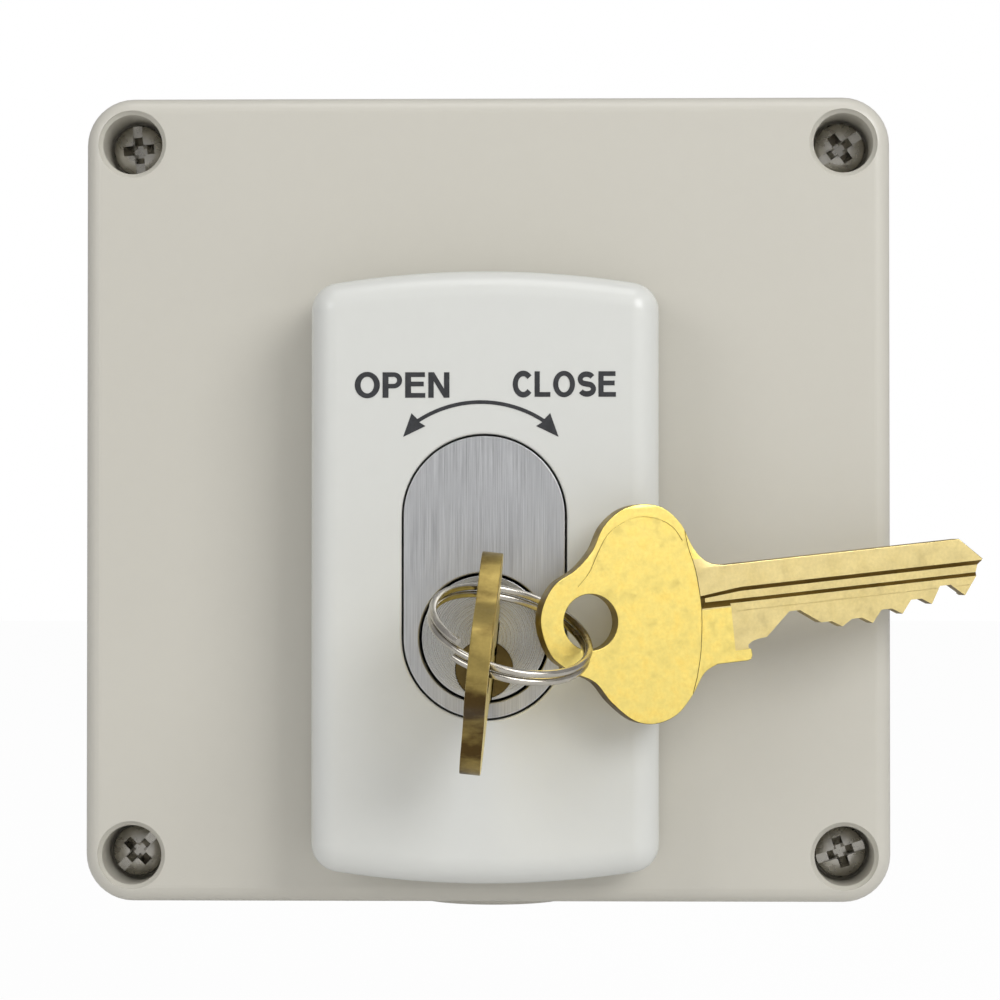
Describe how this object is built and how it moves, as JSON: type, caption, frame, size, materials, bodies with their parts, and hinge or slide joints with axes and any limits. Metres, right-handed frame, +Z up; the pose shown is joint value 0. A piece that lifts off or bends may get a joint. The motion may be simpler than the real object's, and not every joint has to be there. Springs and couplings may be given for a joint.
{
  "type": "selector key switch",
  "caption": "Key-operated open/close switch in a square wall box: raised cover, pill-shaped lock plate, key inserted with a spare on a split ring, contact blocks inside.",
  "frame": {"origin": "centre of the box's flat back face, on the wall plane", "axes": "+X to the right as seen from the front, +Y into the wall, +Z up; the front faces -Y"},
  "size_m": [0.1127, 0.0954, 0.1048],
  "materials": {
    "box_plastic": "satin warm light grey",
    "cover_plastic": "semi-gloss white",
    "black_plastic": "moulded black",
    "white_plastic": "moulded off-white",
    "seal_rubber": "soft seal rubber",
    "screw_steel": "plain stainless steel",
    "brushed_face": "brushed stainless steel",
    "cast_zinc": "die-cast zinc",
    "key_brass": "milled yellow brass",
    "plug_brass": "dull turned brass",
    "spring_steel": "drawn spring wire",
    "ring_nickel": "nickel-plated wire"
  },
  "bodies": {
    "housing": {"bracket_screw_lower": "screw_steel", "bracket_screw_upper": "screw_steel", "chamber_strip": "plug_brass", "common_tab_close": "plug_brass", "common_tab_open": "plug_brass", "conduit_plug": "box_plastic", "contact_tab_close": "plug_brass", "contact_tab_open": "plug_brass", "cover_gasket": "seal_rubber", "cover_screw_lower": "screw_steel", "cover_screw_upper": "screw_steel", "driver_pin_1": "plug_brass", "driver_pin_2": "plug_brass", "driver_pin_3": "plug_brass", "driver_pin_4": "plug_brass", "driver_pin_5": "plug_brass", "driver_pin_6": "plug_brass", "enclosure_base": "box_plastic", "enclosure_lid": "box_plastic", "face_plate": "brushed_face", "lid_gasket": "seal_rubber", "lid_screw_bottom_left": "screw_steel", "lid_screw_bottom_right": "screw_steel", "lid_screw_top_left": "screw_steel", "lid_screw_top_right": "screw_steel", "lock_body": "cast_zinc", "microswitch_close": "black_plastic", "microswitch_open": "black_plastic", "pin_spring_1": "spring_steel", "pin_spring_2": "spring_steel", "pin_spring_3": "spring_steel", "pin_spring_4": "spring_steel", "pin_spring_5": "spring_steel", "pin_spring_6": "spring_steel", "return_spring": "spring_steel", "switch_bracket": "screw_steel", "switch_cover": "cover_plastic", "terminal_block": "white_plastic", "terminal_screw_1": "screw_steel", "terminal_screw_2": "screw_steel", "terminal_screw_3": "screw_steel", "wire_close": "black_plastic", "wire_common_close": "black_plastic", "wire_common_open": "black_plastic", "wire_open": "black_plastic"},
    "plug": {"lock_plug": "plug_brass", "plug_face": "brushed_face", "key_pin_1": "plug_brass", "key_pin_2": "plug_brass", "key_pin_3": "plug_brass", "key_pin_4": "plug_brass", "key_pin_5": "plug_brass", "key_pin_6": "plug_brass", "drive_cam": "cast_zinc", "cam_screw": "screw_steel"},
    "key": {"key": "key_brass"},
    "ring": {"key_ring": "ring_nickel"},
    "spare_key": {"spare_key": "key_brass"},
    "plunger_open": {"plunger_open": "white_plastic"},
    "plunger_close": {"plunger_close": "white_plastic"}
  },
  "joints": [
    {"name": "key_turn", "type": "hinge", "parent": "housing", "child": "plug", "pos_m": [0, -0.069, -0.01725], "axis": [0, 1, 0], "range_deg": [-37, 25], "stiffness_Nm_per_rad": 0.12, "deforming": ["return_spring"]},
    {"name": "key_withdraw", "type": "slide", "parent": "plug", "child": "key", "axis": [0, -1, 0], "range_m": [0, 0.034], "deforming": ["pin_spring_1", "pin_spring_2", "pin_spring_3", "pin_spring_4", "pin_spring_5", "pin_spring_6", "key_pin_1", "key_pin_2", "key_pin_3", "key_pin_4", "key_pin_5", "key_pin_6"]},
    {"name": "ring_swing", "type": "hinge", "parent": "key", "child": "ring", "pos_m": [0.00004, -0.0892, -0.01977], "axis": [0.9945, 0, -0.1045], "range_deg": [0, 35]},
    {"name": "spare_key_swing", "type": "hinge", "parent": "ring", "child": "spare_key", "pos_m": [0.01125, -0.07632, -0.01589], "axis": [-0.5199, 0.6919, 0.5009], "range_deg": [-45, 0]},
    {"name": "open_contact_press", "type": "slide", "parent": "housing", "child": "plunger_open", "axis": [-1, 0, 0], "range_m": [-0.0012, 0.0012]},
    {"name": "close_contact_press", "type": "slide", "parent": "housing", "child": "plunger_close", "axis": [1, 0, 0], "range_m": [-0.0012, 0.0012]}
  ],
  "couplings": [
    {"joint": "close_contact_press", "follows": "key_turn", "m_per_rad": 0.00127},
    {"joint": "open_contact_press", "follows": "key_turn", "m_per_rad": -0.00127}
  ]
}
